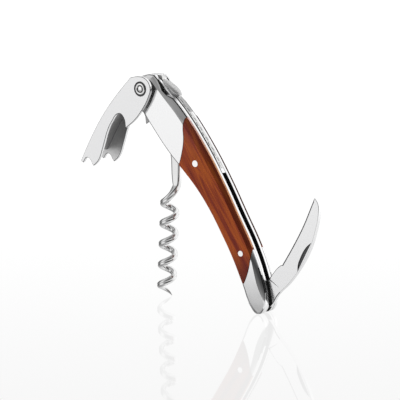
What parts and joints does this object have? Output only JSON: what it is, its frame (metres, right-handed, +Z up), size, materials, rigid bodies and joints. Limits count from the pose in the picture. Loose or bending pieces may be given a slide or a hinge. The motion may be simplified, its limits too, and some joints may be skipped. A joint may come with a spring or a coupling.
{
  "type": "waiters corkscrew",
  "caption": "Folding waiter's corkscrew: arched handle with wood scales, hinged foil knife, right-handed worm and notched boot lever.",
  "frame": {"origin": "under the middle of the bounds, on the surface that the worm's tip and the handle's lower end touch", "axes": "+Z up, +X from the lever's tips towards the knife's point, +Y through the handle's thickness, away from the left side"},
  "size_m": [0.1247, 0.0174, 0.1011],
  "materials": {
    "steel": "polished",
    "satin_steel": "satin",
    "bright_steel": "polished",
    "rosewood": "semi-gloss oiled"
  },
  "bodies": {
    "handle": {"left_liner": "satin_steel", "right_liner": "satin_steel", "left_upper_bolster": "steel", "right_upper_bolster": "steel", "left_scale": "rosewood", "right_scale": "rosewood", "left_lower_bolster": "steel", "right_lower_bolster": "steel", "back_spring": "satin_steel", "thumb_catch": "satin_steel", "lever_rivet": "bright_steel", "left_lever_washer": "satin_steel", "right_lever_washer": "satin_steel", "worm_pivot_pin": "steel", "knife_pivot_pin": "steel", "spring_pin": "steel", "left_upper_scale_pin": "bright_steel", "right_upper_scale_pin": "bright_steel", "left_lower_scale_pin": "bright_steel", "right_lower_scale_pin": "bright_steel"},
    "lever": {"lever": "steel"},
    "worm": {"worm": "bright_steel"},
    "knife": {"knife_blade": "steel"}
  },
  "joints": [
    {"name": "lever_pivot", "type": "hinge", "parent": "handle", "child": "lever", "pos_m": [-0.02815, 0, 0.0949], "axis": [0, -1, 0], "range_deg": [-95, 12]},
    {"name": "worm_pivot", "type": "hinge", "parent": "handle", "child": "worm", "pos_m": [-0.01515, 0, 0.0739], "axis": [0, -1, 0], "range_deg": [-47, 29]},
    {"name": "knife_pivot", "type": "hinge", "parent": "handle", "child": "knife", "pos_m": [0.03535, 0, 0.0062], "axis": [0, -1, 0], "range_deg": [-128, 52]}
  ]
}
